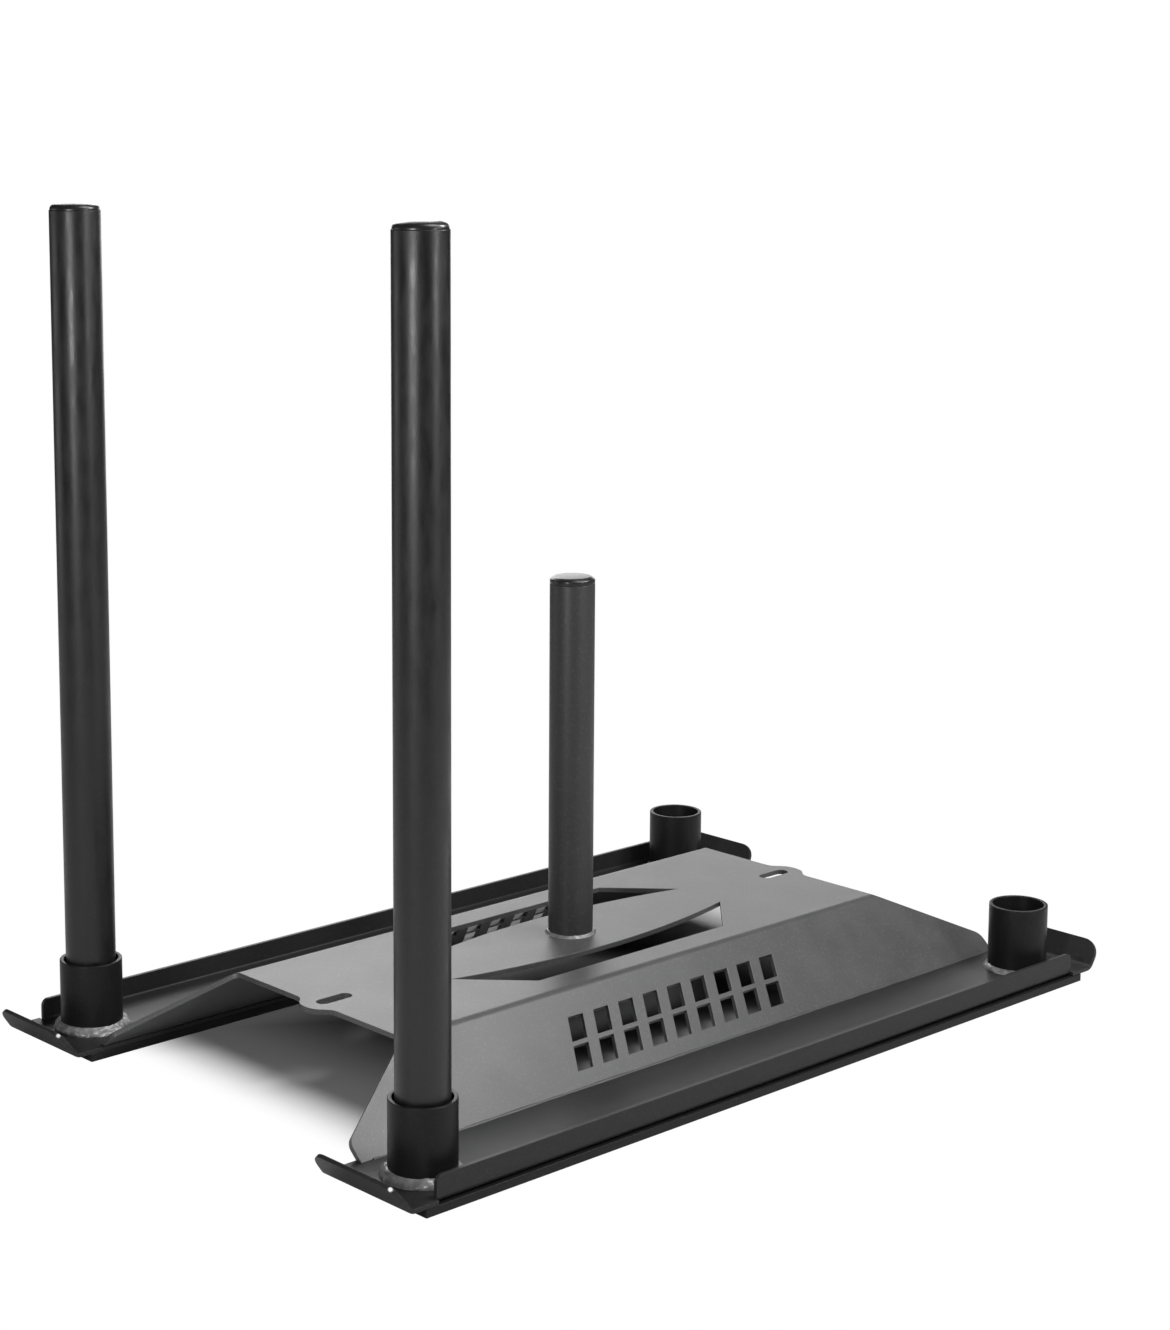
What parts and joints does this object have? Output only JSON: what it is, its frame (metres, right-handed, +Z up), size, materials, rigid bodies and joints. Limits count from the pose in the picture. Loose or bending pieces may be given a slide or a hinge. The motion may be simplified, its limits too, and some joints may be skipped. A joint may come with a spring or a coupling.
{
  "type": "push sled",
  "caption": "Steel push sled: bent deck on two turned-up runners, sockets at the corners, lift-out push poles and a short plate post.",
  "frame": {"origin": "on the floor under the middle of the sled", "axes": "+X is the pushing direction, from the poles to the empty sockets; +Y is the sled's left side; +Z is up"},
  "size_m": [0.9696, 0.6, 0.812],
  "materials": {
    "deck_coat": "black satin powder coat with a fine texture",
    "frame_coat": "black satin powder coat with a fine texture",
    "pole_coat": "black satin powder coat, slightly glossier on the tubes",
    "weld": "coated weld bead, rough and rippled",
    "cap_plastic": "black moulded plastic with a soft sheen"
  },
  "bodies": {
    "sled": {"deck_plate": "deck_coat", "deck_foot_weld_left": "weld", "deck_foot_weld_right": "weld", "runner_tray_left": "frame_coat", "runner_tray_right": "frame_coat", "skid_plate_left": "frame_coat", "skid_plate_right": "frame_coat", "socket_rear_left": "frame_coat", "socket_rear_right": "frame_coat", "socket_front_left": "frame_coat", "socket_front_right": "frame_coat", "socket_weld_rear_left": "weld", "socket_weld_rear_right": "weld", "socket_weld_front_left": "weld", "socket_weld_front_right": "weld", "plate_post": "pole_coat", "plate_post_weld": "weld", "plate_post_cap": "cap_plastic"},
    "pole_left": {"push_pole_left": "pole_coat", "pole_cap_left": "cap_plastic", "pole_foot_plug_left": "cap_plastic"},
    "pole_right": {"push_pole_right": "pole_coat", "pole_cap_right": "cap_plastic", "pole_foot_plug_right": "cap_plastic"}
  },
  "joints": [
    {"name": "pole_left_lift", "type": "slide", "parent": "sled", "child": "pole_left", "axis": [0, 0, 1], "range_m": [0, 0.12]},
    {"name": "pole_right_lift", "type": "slide", "parent": "sled", "child": "pole_right", "axis": [0, 0, 1], "range_m": [0, 0.12]}
  ]
}
